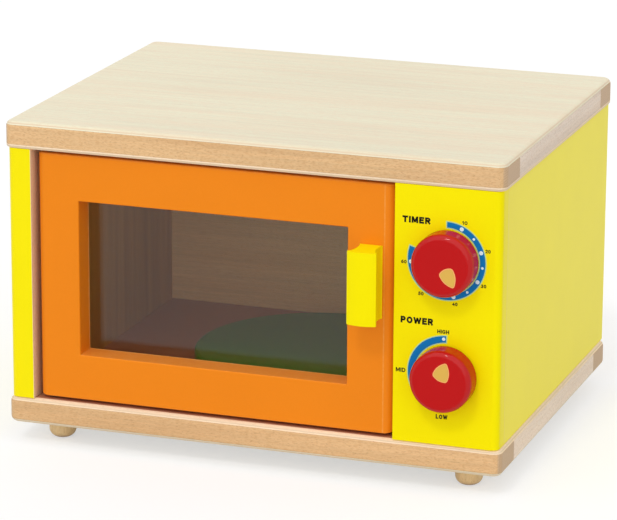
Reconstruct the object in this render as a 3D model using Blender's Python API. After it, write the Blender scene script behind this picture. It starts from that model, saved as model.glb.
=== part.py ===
"""A wooden play microwave: a case of two sandwich boards and four panels, a framed door on pivot pins,
two turning knobs and a turntable. Metres, +Z up, -Y to the front. The origin is the middle of the
bounding box's floor, under the feet."""

import math

import bmesh
import bpy
from mathutils import Matrix, Vector

# Joints between pieces
GLUE_LINE = 0.0001
FIT = 0.0003
OVERRUN = 0.001
WELD = 0.000001

# Top and base boards: two skins on a frame of rails
BOARD_WIDTH = 0.340
BOARD_DEPTH = 0.264
BOARD_THICK = 0.018
CASE_HEIGHT = 0.206
SKIN_THICK = 0.0025
RAIL_DEPTH = 0.032
SIDE_RAIL_WIDTH = 0.030
CENTRE_RAIL_WIDTH = 0.040
BOARD_CORNER = 0.006
BOARD_EDGE = 0.002
HOLE_COVER = 0.007

# Feet: a turned foot with a spigot glued into the base board
FOOT_HEIGHT = 0.0146
FOOT_SHOULDER = 0.0051
FOOT_EDGE = 0.006
FOOT_SIDE_INSET = 0.028
FOOT_TO_RAIL_EDGE = 0.0055
SPIGOT_DIAMETER = 0.008

# Upright panels
PANEL_SET_IN = 0.002
PANEL_SET_BACK = 0.001
SIDE_THICK = 0.0165
CONTROL_THICK = 0.0145
CONTROL_WIDTH = 0.0704
PANEL_EDGE = 0.005
BACK_THICK = 0.009
BACK_SET_IN = 0.002
REBATE_LAP = 0.008

# Dowels between the side panels and the boards
DOWEL_DIAMETER = 0.008
DOWEL_IN_PANEL = 0.014
DOWEL_CHAMFER = 0.001

# Back panel screws
BACK_SCREW_INSET = 0.025
BACK_SCREW_LENGTH = 0.020

# Door frame and its opening
DOOR_THICK = 0.018
DOOR_SET_BACK = 0.0035
DOOR_GAP_BELOW = 0.0022
DOOR_GAP_ABOVE = 0.0022
DOOR_GAP_HINGE = 0.0032
DOOR_GAP_FREE = 0.0014
DOOR_EDGE = 0.005
DOOR_SMALL_EDGE = 0.002
STILE_WIDTH = 0.0306
HINGE_STILE_WIDTH = 0.0292
OPENING_CORNER = 0.0007
OPENING_EDGE = 0.001

# Window pane, screwed to the back of the frame
PANE_THICK = 0.003
PANE_LAP = 0.009
PANE_CORNER = 0.003
PANE_SCREW_LENGTH = 0.010

# Door handle: a block with a finger cove down each side. Shares are of its width, depth and height
HANDLE_WIDTH = 0.0194
HANDLE_HEIGHT = 0.0481
HANDLE_DEPTH = 0.0214
HANDLE_RISE = 0.0183
HANDLE_SHIFT = 0.0005
HANDLE_LIP = 0.0014
HANDLE_CROWN = 0.0021
HANDLE_EDGE = 0.001
HANDLE_FACE_WALL = 0.008
WAIST_WIDTH_SHARE = 0.66
FOOT_WIDTH_SHARE = 0.79
WAIST_DEPTH_SHARE = 0.33
SCREW_PITCH_SHARE = 0.587

# Door pivot: two steel pins, each with a washer between door and board
PIVOT_INSET = 0.008
PIN_DIAMETER = 0.004
PIN_IN_DOOR = 0.012
PIVOT_WASHER_RIM = 0.0022

# Door stop batten with a magnet, and the striker let into the door
STOP_GAP = 0.0005
BATTEN_WIDTH = 0.014
TONGUE_THICK = 0.0096
MAGNET_DIAMETER = 0.008
MAGNET_LENGTH = 0.004
STRIKER_DIAMETER = 0.008
STRIKER_THICK = 0.0012

# Screws: wood screws with pan heads
SCREW_DIAMETER = 0.003
SCREW_HEAD_RIM = 0.0015
SCREW_HEAD_THICK = 0.0018
SCREW_POINT = 0.002
SCREW_HEAD_EDGE = 0.0006

# Knobs, each on a bolt through the control panel
KNOB_DIAMETER = 0.0410
KNOB_LENGTH = 0.0146
KNOB_EDGE = 0.0038
KNOB_BACK_EDGE = 0.0006
KNOB_BOSS_DIAMETER = 0.020
KNOB_BOSS_LENGTH = 0.0007
KNOB_FACE_WALL = 0.0053
KNOB_GAP = 0.0350
KNOB_SHIFT = 0.0003
KNOB_DROP = 0.0008
BOLT_DIAMETER = 0.005
BOLT_HEAD_RIM = 0.0025
BOLT_HEAD_THICK = 0.003
BOLT_WASHER_RIM = 0.0042
BOLT_WASHER_THICK = 0.001

# Turntable on a screw into the base board's centre rail
TURNTABLE_DIAMETER = 0.1690
TURNTABLE_THICK = 0.009
TURNTABLE_EDGE = 0.002
TURNTABLE_WASHER_RIM = 0.0052
TURNTABLE_WASHER_THICK = 0.002
TURNTABLE_SCREW_DIAMETER = 0.005
TURNTABLE_HEAD_RIM = 0.0025
TURNTABLE_HEAD_THICK = 0.003

# Facets
CORNER_STEPS = 5
EDGE_STEPS = 3
ARC_STEPS = 6
SIDES_SMALL = 12
SIDES_PIN = 16
SIDES_FOOT = 28
SIDES_KNOB = 48
SIDES_TURNTABLE = 72
SHARP_ANGLE = math.radians(35)
BEVEL_ANGLE = math.radians(40)

# Colours
BEECH = (0.72, 0.46, 0.24)
PALE_PLY = (0.86, 0.74, 0.55)
YELLOW = (0.98, 0.80, 0.005)
ORANGE = (0.90, 0.24, 0.008)
RED = (0.52, 0.012, 0.014)
GREEN = (0.06, 0.24, 0.10)
STEEL = (0.56, 0.57, 0.58)
NYLON = (0.03, 0.03, 0.03)
SMOKE = (0.16, 0.11, 0.08)

# Places worked out from the sizes above
HALF_WIDTH = BOARD_WIDTH / 2
HANDLE_OUT = HANDLE_DEPTH - DOOR_SET_BACK
FRONT = (HANDLE_OUT - BOARD_DEPTH) / 2
BACK = FRONT + BOARD_DEPTH
ACROSS = (-HALF_WIDTH, HALF_WIDTH)
BETWEEN_RAILS = (FRONT + RAIL_DEPTH + GLUE_LINE, BACK - RAIL_DEPTH - GLUE_LINE)
BASE_LOW = FOOT_HEIGHT
BASE_TOP = BASE_LOW + BOARD_THICK
CASE_TOP = BASE_LOW + CASE_HEIGHT
TOP_LOW = CASE_TOP - BOARD_THICK
HOLE_IN_BOARD = BOARD_THICK - HOLE_COVER
SIDE_OUT = HALF_WIDTH - PANEL_SET_IN
SIDE_IN = SIDE_OUT - SIDE_THICK
SIDE_MIDDLE = (SIDE_OUT + SIDE_IN) / 2
PANEL_FRONT = FRONT + PANEL_SET_BACK
CONTROL_BACK = PANEL_FRONT + CONTROL_THICK
CONTROL_LEFT = SIDE_OUT - CONTROL_WIDTH
CASE_BACK = BACK - BACK_SET_IN
CAVITY_BACK = CASE_BACK - BACK_THICK
PANEL_LOW = BASE_TOP + GLUE_LINE
PANEL_HIGH = TOP_LOW - GLUE_LINE
DOWEL_INSET = (PANEL_SET_BACK + CONTROL_THICK + RAIL_DEPTH) / 2
FOOT_END_INSET = RAIL_DEPTH - FOOT_TO_RAIL_EDGE

DOOR_LEFT = -SIDE_IN + DOOR_GAP_HINGE
DOOR_RIGHT = CONTROL_LEFT - DOOR_GAP_FREE
DOOR_LOW = BASE_TOP + DOOR_GAP_BELOW
DOOR_HIGH = TOP_LOW - DOOR_GAP_ABOVE
DOOR_FRONT = FRONT + DOOR_SET_BACK
DOOR_BACK = DOOR_FRONT + DOOR_THICK
DOOR_MIDDLE = (DOOR_LOW + DOOR_HIGH) / 2
OPENING_LEFT = DOOR_LEFT + HINGE_STILE_WIDTH
OPENING_RIGHT = DOOR_RIGHT - STILE_WIDTH
OPENING_LOW = DOOR_LOW + STILE_WIDTH
OPENING_HIGH = DOOR_HIGH - STILE_WIDTH
PANE_FRONT = DOOR_BACK + GLUE_LINE
PANE_BACK = PANE_FRONT + PANE_THICK
PIVOT_X = DOOR_LEFT + PIVOT_INSET
PIVOT_Y = (DOOR_FRONT + DOOR_BACK) / 2
HANDLE_X = (OPENING_RIGHT + DOOR_RIGHT) / 2 + HANDLE_SHIFT
HANDLE_Z = DOOR_MIDDLE + HANDLE_RISE
TONGUE_LEFT = HANDLE_X + SCREW_DIAMETER / 2 + SCREW_HEAD_RIM + STOP_GAP
TONGUE_FRONT = DOOR_BACK + STOP_GAP
KNOB_X = (CONTROL_LEFT + SIDE_OUT) / 2 + KNOB_SHIFT
KNOB_BACK = PANEL_FRONT - FIT - KNOB_BOSS_LENGTH
KNOB_FRONT = KNOB_BACK - KNOB_LENGTH
KNOB_MIDDLE = (BASE_TOP + TOP_LOW) / 2 - KNOB_DROP
KNOB_HALF_PITCH = (KNOB_DIAMETER + KNOB_GAP) / 2
KNOB_HEIGHTS = {"timer": KNOB_MIDDLE + KNOB_HALF_PITCH, "power": KNOB_MIDDLE - KNOB_HALF_PITCH}
TURNTABLE_Y = (PANE_BACK + CAVITY_BACK) / 2
TURNTABLE_RADIUS = TURNTABLE_DIAMETER / 2
TURNTABLE_LOW = BASE_TOP + TURNTABLE_WASHER_THICK + FIT * 2
TURNTABLE_TOP = TURNTABLE_LOW + TURNTABLE_THICK


def clear_scene():
    for old in list(bpy.data.objects):
        bpy.data.objects.remove(old, do_unlink=True)


def make_finish(name, colour, roughness, metallic=0.0, transmission=0.0):
    """A Principled material with one colour."""
    finish = bpy.data.materials.new(name)
    finish.use_nodes = True
    shader = finish.node_tree.nodes["Principled BSDF"]
    shader.inputs["Base Color"].default_value = (*colour, 1)
    shader.inputs["Roughness"].default_value = roughness
    shader.inputs["Metallic"].default_value = metallic
    shader.inputs["Transmission Weight"].default_value = transmission
    return finish


def directions(axis):
    """Unit vectors for an axis letter: the two directions across it, in X, Y, Z order, and its own."""
    order = "XYZ".replace(axis, "") + axis
    return [Vector([float(letter == other) for other in "XYZ"]) for letter in order]


def place(axis, u, v, w):
    """The point whose two coordinates across an axis are u and v, and w along it."""
    across_u, across_v, along = directions(axis)
    return across_u * u + across_v * v + along * w


def closed_body(name, rings, finish, origin, hollow=False):
    """A solid skinned over rings of equal length. A hollow one joins its last ring to its first."""
    shape = bmesh.new()
    loops = [[shape.verts.new(point - origin) for point in ring] for ring in rings]
    pairs = list(zip(loops, loops[1:]))
    if hollow:
        pairs.append((loops[-1], loops[0]))
    else:
        shape.faces.new(loops[0])
        shape.faces.new(loops[-1])
    for low, high in pairs:
        for i, start in enumerate(low):
            j = (i + 1) % len(low)
            shape.faces.new((start, low[j], high[j], high[i]))
    bmesh.ops.remove_doubles(shape, verts=shape.verts, dist=WELD)
    bmesh.ops.recalc_face_normals(shape, faces=shape.faces)
    mesh = bpy.data.meshes.new(name)
    shape.to_mesh(mesh)
    shape.free()
    mesh.shade_smooth()
    mesh.set_sharp_from_angle(angle=SHARP_ANGLE)
    mesh.materials.append(finish)
    body = bpy.data.objects.new(name, mesh)
    body.location = origin
    bpy.context.scene.collection.objects.link(body)
    return body


def arc(centre_u, centre_v, radius, start, end, steps):
    """Points of a circle's arc between two angles, its ends included."""
    angles = [start + (end - start) * i / steps for i in range(steps + 1)]
    return [(centre_u + radius * math.cos(a), centre_v + radius * math.sin(a)) for a in angles]


def rectangle(u_span, v_span, corners, inset=0.0):
    """A rectangle's outline, anticlockwise from its lower left, drawn in by an inset. A corner of
    radius 0 stays sharp, and any other keeps its centre."""
    outline = []
    signs = ((-1, -1), (1, -1), (1, 1), (-1, 1))
    for i, ((side_u, side_v), radius) in enumerate(zip(signs, corners)):
        edge_u, edge_v = u_span[side_u > 0], v_span[side_v > 0]
        if radius:
            start = math.pi + i * math.pi / 2
            centre = edge_u - side_u * radius, edge_v - side_v * radius
            outline += arc(*centre, radius - inset, start, start + math.pi / 2, CORNER_STEPS)
        else:
            outline.append((edge_u - side_u * inset, edge_v - side_v * inset))
    return outline


def stations(low, high, low_edge, high_edge):
    """(place along the axis, inset) pairs that round a prism's two ends."""
    low_turns = range(EDGE_STEPS if low_edge else 0)
    high_turns = range(EDGE_STEPS if high_edge else 0)
    quarter = math.pi / 2
    starts = [quarter * i / EDGE_STEPS for i in low_turns]
    ends = [quarter * (i + 1) / EDGE_STEPS for i in high_turns]
    pairs = [(low + low_edge * (1 - math.cos(a)), low_edge * (1 - math.sin(a))) for a in starts]
    pairs += [(low + low_edge, 0.0), (high - high_edge, 0.0)]
    pairs += [(high - high_edge * (1 - math.sin(a)), high_edge * (1 - math.cos(a))) for a in ends]
    return pairs


def slab(name, x_span, y_span, z_span, finish, corners=(0, 0, 0, 0), low_edge=0.0, high_edge=0.0, axis="Z"):
    """A board with an outline across one axis, corners rounded as given, and its two ends' edges rounded."""
    spans = {"X": x_span, "Y": y_span, "Z": z_span}
    w_span = spans[axis]
    u_span, v_span = (span for letter, span in spans.items() if letter != axis)
    rings = [
        [place(axis, u, v, w) for u, v in rectangle(u_span, v_span, corners, inset)]
        for w, inset in stations(*w_span, low_edge, high_edge)
    ]
    origin = Vector([sum(span) / 2 for span in spans.values()])
    return closed_body(name, rings, finish, origin)


def extruded(name, outline, z_span, finish):
    """An outline in plan, run straight up."""
    rings = [[Vector((x, y, z)) for x, y in outline] for z in z_span]
    middle_x, middle_y = (sum(values) / len(outline) for values in zip(*outline))
    return closed_body(name, rings, finish, Vector((middle_x, middle_y, sum(z_span) / 2)))


def turned(name, profile, foot, axis, finish, sides, hollow=False):
    """A profile of (radius, distance) pairs turned about a line through foot along an axis."""
    across_u, across_v, along = directions(axis)
    turns = [2 * math.pi * i / sides for i in range(sides)]
    rings = [
        [foot + along * w + (across_u * math.cos(a) + across_v * math.sin(a)) * radius for a in turns]
        for radius, w in profile
    ]
    return closed_body(name, rings, finish, foot, hollow)


def cut(targets, shape):
    """Hides a shape and adds it to the collection of shapes that each target's one Boolean takes away."""
    shape.hide_render = True
    shape.display_type = "WIRE"
    bpy.context.scene.collection.objects.unlink(shape)
    for target in targets:
        name = f"{target.name}_cuts"
        cuts = bpy.data.collections.get(name)
        if cuts is None:
            cuts = bpy.data.collections.new(name)
            bpy.context.scene.collection.children.link(cuts)
            difference = target.modifiers.new("cuts", "BOOLEAN")
            difference.operation = "DIFFERENCE"
            difference.solver = "EXACT"
            difference.operand_type = "COLLECTION"
            difference.collection = cuts
        cuts.objects.link(shape)


def bore(targets, name, foot, axis, radius, depth, sides):
    """One round hole through all the targets. It starts at foot and runs depth along the axis."""
    profile = [(radius, 0.0), (radius, depth)]
    cut(targets, turned(f"{name}_cut", profile, foot, axis, FINISHES["steel"], sides))


def rounded_rod(radius, start, end, start_edge, end_edge):
    """A turned profile of a plain rod whose two ends are rounded."""
    return [(radius - inset, w) for w, inset in stations(start, end, start_edge, end_edge)]


def chamfered_rod(radius, start, end, chamfer):
    """A turned profile of a plain rod whose two ends are chamfered."""
    tip = radius - chamfer
    return [(tip, start), (radius, start + chamfer), (radius, end - chamfer), (tip, end)]


def pan_head_screw(name, seat, length):
    """A wood screw. Its head rests on seat, and its shank runs towards the front."""
    shank = SCREW_DIAMETER / 2
    head = shank + SCREW_HEAD_RIM
    profile = [
        (shank / 2, -length),
        (shank, SCREW_POINT - length),
        (shank, 0.0),
        (head, 0.0),
        (head, SCREW_HEAD_THICK - SCREW_HEAD_EDGE),
        (head - SCREW_HEAD_EDGE, SCREW_HEAD_THICK),
    ]
    return turned(name, profile, seat, "Y", FINISHES["steel"], SIDES_SMALL)


def screw_hole(targets, name, seat, length):
    """The hole of a screw whose head rests on seat, through each target in its way."""
    start = seat - directions("Y")[-1] * (length + FIT)
    bore(targets, name, start, "Y", SCREW_DIAMETER / 2 + FIT, length + FIT + OVERRUN, SIDES_SMALL)


def bolt_profile(shank, rim, tip, head_low, head_thick):
    """A bolt's turned profile, from its tip to its head."""
    return [
        (shank - FIT, tip),
        (shank, tip + FIT),
        (shank, head_low),
        (shank + rim, head_low),
        (shank + rim, head_low + head_thick - SCREW_HEAD_EDGE),
        (shank + rim - SCREW_HEAD_EDGE, head_low + head_thick),
    ]


def washer(name, foot, axis, hole, rim, thick, finish):
    profile = [(hole, 0.0), (hole + rim, 0.0), (hole + rim, thick), (hole, thick)]
    return turned(name, profile, foot, axis, finish, SIDES_PIN, hollow=True)


def make_board(prefix, low, outer_skin_low):
    """One sandwich board. The outer skin faces away from the case, and both skins round their own edge."""
    core = (low + SKIN_THICK + GLUE_LINE, low + BOARD_THICK - SKIN_THICK - GLUE_LINE)
    corner = BOARD_CORNER
    skins = (
        ("outer" if outer_skin_low else "inner", (low, low + SKIN_THICK), BOARD_EDGE, 0.0),
        ("inner" if outer_skin_low else "outer", (core[1] + GLUE_LINE, low + BOARD_THICK), 0.0, BOARD_EDGE),
    )
    board = {}
    for name, height, low_edge, high_edge in skins:
        label = f"{prefix}_{name}_skin"
        finish = FINISHES["ply"]
        board[name] = slab(label, ACROSS, (FRONT, BACK), height, finish, (corner,) * 4, low_edge, high_edge)
    rails = (
        ("front", ACROSS, (FRONT, FRONT + RAIL_DEPTH), (corner, corner, 0, 0)),
        ("back", ACROSS, (BACK - RAIL_DEPTH, BACK), (0, 0, corner, corner)),
        ("left", (-HALF_WIDTH, SIDE_RAIL_WIDTH - HALF_WIDTH), BETWEEN_RAILS, (0, 0, 0, 0)),
        ("right", (HALF_WIDTH - SIDE_RAIL_WIDTH, HALF_WIDTH), BETWEEN_RAILS, (0, 0, 0, 0)),
    )
    for name, x_span, y_span, corners in rails:
        board[name] = slab(f"{prefix}_{name}_rail", x_span, y_span, core, FINISHES["beech"], corners)
    return board


def make_base_and_top():
    base = make_board("base", BASE_LOW, outer_skin_low=True)
    top = make_board("top", TOP_LOW, outer_skin_low=False)
    core = (BASE_LOW + SKIN_THICK + GLUE_LINE, BASE_TOP - SKIN_THICK - GLUE_LINE)
    half = CENTRE_RAIL_WIDTH / 2
    base["centre"] = slab("base_centre_rail", (-half, half), BETWEEN_RAILS, core, FINISHES["beech"])
    return base, top


def make_feet(base):
    """Four turned feet. Each spigot passes the outer skin and seats in a rail."""
    spigot = SPIGOT_DIAMETER / 2
    shoulder = FOOT_HEIGHT - GLUE_LINE
    profile = rounded_rod(spigot + FOOT_SHOULDER, 0.0, shoulder, FOOT_EDGE, 0.0)
    profile += [(spigot, shoulder), (spigot, BASE_LOW + HOLE_IN_BOARD - FIT)]
    for side, x in (("left", FOOT_SIDE_INSET - HALF_WIDTH), ("right", HALF_WIDTH - FOOT_SIDE_INSET)):
        for end, y in (("front", FRONT + FOOT_END_INSET), ("back", BACK - FOOT_END_INSET)):
            name = f"foot_{end}_{side}"
            turned(name, profile, Vector((x, y, 0.0)), "Z", FINISHES["beech"], SIDES_FOOT)
            start = Vector((x, y, BASE_LOW - OVERRUN))
            targets = (base["outer"], base[end])
            bore(targets, name, start, "Z", spigot + FIT, HOLE_IN_BOARD + OVERRUN, SIDES_FOOT)


def side_outline(sign, front):
    """A side panel in plan: its front outer edge rounded if it reaches the front, its back inner
    edge rebated for the back panel. Sign is -1 for the left panel and 1 for the right."""
    rebate = SIDE_IN + REBATE_LAP
    outline = [(SIDE_IN, front)]
    if front == PANEL_FRONT:
        centre = SIDE_OUT - PANEL_EDGE, front + PANEL_EDGE
        outline += arc(*centre, PANEL_EDGE, -math.pi / 2, 0.0, ARC_STEPS)
    else:
        outline.append((SIDE_OUT, front))
    outline += [(SIDE_OUT, CASE_BACK), (rebate, CASE_BACK)]
    outline += [(rebate, CAVITY_BACK - GLUE_LINE), (SIDE_IN, CAVITY_BACK - GLUE_LINE)]
    return [(sign * x, y) for x, y in outline]


def make_panels():
    yellow = FINISHES["yellow"]
    height = (PANEL_LOW, PANEL_HIGH)
    right_front = CONTROL_BACK + GLUE_LINE
    panels = {
        "left": extruded("left_side_panel", side_outline(-1, PANEL_FRONT), height, yellow),
        "right": extruded("right_side_panel", side_outline(1, right_front), height, yellow),
        "control": slab(
            "control_panel",
            (CONTROL_LEFT, SIDE_OUT),
            (PANEL_FRONT, CONTROL_BACK),
            height,
            yellow,
            (0, PANEL_EDGE, 0, 0),
        ),
    }
    reach = SIDE_IN + REBATE_LAP - GLUE_LINE
    panels["back"] = slab("back_panel", (-reach, reach), (CAVITY_BACK, CASE_BACK), height, FINISHES["ply"])
    return panels


def make_dowels(base, top, panels):
    """Two dowels at each end of each side panel, part in the board and part in the panel."""
    radius = DOWEL_DIAMETER / 2
    levels = (("lower", base, BASE_TOP, 1), ("upper", top, TOP_LOW, -1))
    for side, x in (("left", -SIDE_MIDDLE), ("right", SIDE_MIDDLE)):
        for end, y in (("front", FRONT + DOWEL_INSET), ("back", BACK - DOWEL_INSET)):
            for level, board, face, up in levels:
                name = f"dowel_{side}_{end}_{level}"
                low, high = sorted((face - up * (HOLE_IN_BOARD - FIT), face + up * DOWEL_IN_PANEL))
                profile = chamfered_rod(radius, low, high, DOWEL_CHAMFER)
                turned(name, profile, Vector((x, y, 0.0)), "Z", FINISHES["beech"], SIDES_PIN)
                start = Vector((x, y, low - FIT))
                targets = (board["inner"], board[end], panels[side])
                bore(targets, name, start, "Z", radius + FIT, high - low + FIT * 2, SIDES_PIN)


def make_back_screws(panels):
    """Four screws through the back panel's margin into the side panels' rebates."""
    x = SIDE_IN + REBATE_LAP / 2
    levels = (BASE_TOP + BACK_SCREW_INSET, TOP_LOW - BACK_SCREW_INSET)
    places = [(side, sign * x, z) for side, sign in (("left", -1), ("right", 1)) for z in levels]
    for i, (side, screw_x, z) in enumerate(places, start=1):
        seat = Vector((screw_x, CASE_BACK + GLUE_LINE, z))
        pan_head_screw(f"back_screw_{i}", seat, BACK_SCREW_LENGTH)
        screw_hole((panels["back"], panels[side]), f"back_screw_{i}", seat, BACK_SCREW_LENGTH)


def make_door():
    """The frame. Its front upright edges are rounded most, and its opening is eased at the front."""
    corners = (DOOR_EDGE, DOOR_EDGE, DOOR_SMALL_EDGE, DOOR_SMALL_EDGE)
    frame = slab(
        "door_frame",
        (DOOR_LEFT, DOOR_RIGHT),
        (DOOR_FRONT, DOOR_BACK),
        (DOOR_LOW, DOOR_HIGH),
        FINISHES["orange"],
        corners,
        DOOR_SMALL_EDGE,
        DOOR_SMALL_EDGE,
    )
    turns = [math.pi / 2 * i / EDGE_STEPS for i in range(EDGE_STEPS)]
    flare = [
        (DOOR_FRONT + OPENING_EDGE * (1 - math.sin(a)), -OPENING_EDGE * (1 - math.cos(a)))
        for a in turns
    ]
    last_y, last_inset = flare[-1]
    past_front = DOOR_FRONT * 2 - last_y, -OPENING_EDGE * 2 - last_inset
    levels = [(DOOR_BACK + OVERRUN, 0.0)] + flare + [past_front]
    opening = (OPENING_LEFT, OPENING_RIGHT), (OPENING_LOW, OPENING_HIGH)
    corners = (OPENING_CORNER,) * 4
    rings = [
        [place("Y", u, v, w) for u, v in rectangle(*opening, corners, inset)] for w, inset in levels
    ]
    middle = Vector(((OPENING_LEFT + OPENING_RIGHT) / 2, DOOR_BACK, DOOR_MIDDLE))
    cut([frame], closed_body("door_opening_cut", rings, FINISHES["orange"], middle))
    return frame


def make_window(frame):
    """The pane lies on the frame's back, one screw in each corner."""
    x_span = (OPENING_LEFT - PANE_LAP, OPENING_RIGHT + PANE_LAP)
    z_span = (OPENING_LOW - PANE_LAP, OPENING_HIGH + PANE_LAP)
    thickness = (PANE_FRONT, PANE_BACK)
    pane = slab("door_window", x_span, thickness, z_span, FINISHES["smoke"], (PANE_CORNER,) * 4, axis="Y")
    parts = [pane]
    out = PANE_LAP / 2
    heights = (OPENING_LOW - out, OPENING_HIGH + out)
    corners = [(x, z) for z in heights for x in (OPENING_LEFT - out, OPENING_RIGHT + out)]
    for i, (x, z) in enumerate(corners, start=1):
        seat = Vector((x, PANE_BACK + GLUE_LINE, z))
        parts.append(pan_head_screw(f"window_screw_{i}", seat, PANE_SCREW_LENGTH))
        screw_hole((frame, pane), f"window_screw_{i}", seat, PANE_SCREW_LENGTH)
    return parts


def handle_outline():
    """The handle in plan, front at the bottom: a shallow crown between two lips, then on each side an
    elliptic cove in to the waist and another out to the foot."""
    front = DOOR_FRONT - HANDLE_DEPTH
    foot_y = DOOR_FRONT - GLUE_LINE
    waist_y = DOOR_FRONT - HANDLE_DEPTH * WAIST_DEPTH_SHARE
    lip_y = front + HANDLE_CROWN + HANDLE_LIP
    half = HANDLE_WIDTH / 2
    waist = half * WAIST_WIDTH_SHARE
    foot = half * FOOT_WIDTH_SHARE
    turns = [math.pi / 2 * i / ARC_STEPS for i in range(ARC_STEPS + 1)]
    crown = [(half * math.sin(a), front + HANDLE_CROWN * math.sin(a) ** 2) for a in turns]
    cove = [(half - (half - waist) * math.sin(a), waist_y + (lip_y - waist_y) * math.cos(a)) for a in turns]
    rise = [(foot - (foot - waist) * math.cos(a), waist_y + (foot_y - waist_y) * math.sin(a)) for a in turns]
    right = crown + cove + rise[1:]
    left = [(-x, y) for x, y in reversed(right[1:])]
    return [(HANDLE_X + x, y) for x, y in right + left]


def make_handle(frame):
    levels = (HANDLE_Z - HANDLE_HEIGHT / 2, HANDLE_Z + HANDLE_HEIGHT / 2)
    handle = extruded("door_handle", handle_outline(), levels, FINISHES["yellow"])
    edge = handle.modifiers.new("edges", "BEVEL")
    edge.width = HANDLE_EDGE
    edge.segments = 2
    edge.limit_method = "ANGLE"
    edge.angle_limit = BEVEL_ANGLE
    parts = [handle]
    length = DOOR_THICK + HANDLE_DEPTH - HANDLE_FACE_WALL
    half_pitch = HANDLE_HEIGHT * SCREW_PITCH_SHARE / 2
    for level, z in (("lower", HANDLE_Z - half_pitch), ("upper", HANDLE_Z + half_pitch)):
        seat = Vector((HANDLE_X, DOOR_BACK + GLUE_LINE, z))
        parts.append(pan_head_screw(f"handle_screw_{level}", seat, length))
        screw_hole((frame, handle), f"handle_screw_{level}", seat, length)
    return parts


def make_pivot(frame, base, top):
    """A pin and a washer under the door and over it."""
    radius = PIN_DIAMETER / 2
    hole = radius + FIT
    in_board = HOLE_IN_BOARD - FIT
    ends = (
        ("lower", base, BASE_TOP - in_board, DOOR_LOW + PIN_IN_DOOR, BASE_TOP, DOOR_GAP_BELOW),
        ("upper", top, DOOR_HIGH - PIN_IN_DOOR, TOP_LOW + in_board, DOOR_HIGH, DOOR_GAP_ABOVE),
    )
    for level, board, low, high, gap_low, gap in ends:
        line = Vector((PIVOT_X, PIVOT_Y, 0.0))
        profile = chamfered_rod(radius, low, high, FIT)
        turned(f"hinge_pin_{level}", profile, line, "Z", FINISHES["steel"], SIDES_PIN)
        foot = Vector((PIVOT_X, PIVOT_Y, gap_low + FIT))
        thick = gap - FIT * 2
        washer(f"hinge_washer_{level}", foot, "Z", hole, PIVOT_WASHER_RIM, thick, FINISHES["nylon"])
        start = Vector((PIVOT_X, PIVOT_Y, low - FIT))
        targets = (frame, board["inner"], board["front"])
        bore(targets, f"hinge_pin_{level}", start, "Z", hole, high - low + FIT * 2, SIDES_PIN)


def make_catch(frame):
    """The batten behind the control panel's free edge stops the door, and its magnet holds the striker."""
    batten_front = CONTROL_BACK + GLUE_LINE
    batten_right = CONTROL_LEFT + BATTEN_WIDTH
    batten_back = TONGUE_FRONT + TONGUE_THICK
    outline = [
        (CONTROL_LEFT, batten_front),
        (batten_right, batten_front),
        (batten_right, batten_back),
        (TONGUE_LEFT, batten_back),
        (TONGUE_LEFT, TONGUE_FRONT),
        (CONTROL_LEFT, TONGUE_FRONT),
    ]
    batten = extruded("door_stop_batten", outline, (PANEL_LOW, PANEL_HIGH), FINISHES["beech"])
    x = (TONGUE_LEFT + DOOR_RIGHT) / 2
    steel = FINISHES["steel"]
    magnet = MAGNET_DIAMETER / 2
    foot = Vector((x, TONGUE_FRONT, DOOR_MIDDLE))
    turned("catch_magnet", chamfered_rod(magnet, 0.0, MAGNET_LENGTH, FIT), foot, "Y", steel, SIDES_PIN)
    start = Vector((x, TONGUE_FRONT - OVERRUN, DOOR_MIDDLE))
    bore([batten], "catch_magnet", start, "Y", magnet + FIT, MAGNET_LENGTH + FIT + OVERRUN, SIDES_PIN)
    striker = STRIKER_DIAMETER / 2
    foot = Vector((x, DOOR_BACK - STRIKER_THICK, DOOR_MIDDLE))
    disc = turned("catch_striker", [(striker, 0.0), (striker, STRIKER_THICK)], foot, "Y", steel, SIDES_PIN)
    start = Vector((x, DOOR_BACK - STRIKER_THICK - FIT, DOOR_MIDDLE))
    bore([frame], "catch_striker", start, "Y", striker + FIT, STRIKER_THICK + FIT + OVERRUN, SIDES_PIN)
    return disc


def make_knob(label, z, control):
    """A turned knob, the bolt that holds it from inside the case, and the bolt's washer."""
    boss = KNOB_BOSS_DIAMETER / 2
    profile = rounded_rod(KNOB_DIAMETER / 2, 0.0, KNOB_LENGTH, KNOB_EDGE, KNOB_BACK_EDGE)
    profile += [(boss, KNOB_LENGTH), (boss, KNOB_LENGTH + KNOB_BOSS_LENGTH)]
    knob = turned(f"{label}_knob", profile, Vector((KNOB_X, KNOB_FRONT, z)), "Y", FINISHES["red"], SIDES_KNOB)
    shank = BOLT_DIAMETER / 2
    hole = shank + FIT
    steel = FINISHES["steel"]
    foot = Vector((KNOB_X, CONTROL_BACK + FIT, z))
    ring = washer(f"{label}_washer", foot, "Y", hole, BOLT_WASHER_RIM, BOLT_WASHER_THICK, steel)
    tip = KNOB_FRONT + KNOB_FACE_WALL
    head_low = CONTROL_BACK + BOLT_WASHER_THICK + FIT * 2
    profile = bolt_profile(shank, BOLT_HEAD_RIM, tip, head_low, BOLT_HEAD_THICK)
    bolt = turned(f"{label}_bolt", profile, Vector((KNOB_X, 0.0, z)), "Y", steel, SIDES_PIN)
    start = Vector((KNOB_X, tip - FIT, z))
    bore((knob, control), f"{label}_bolt", start, "Y", hole, CONTROL_BACK + OVERRUN - tip + FIT, SIDES_PIN)
    return [knob, ring, bolt]


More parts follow.
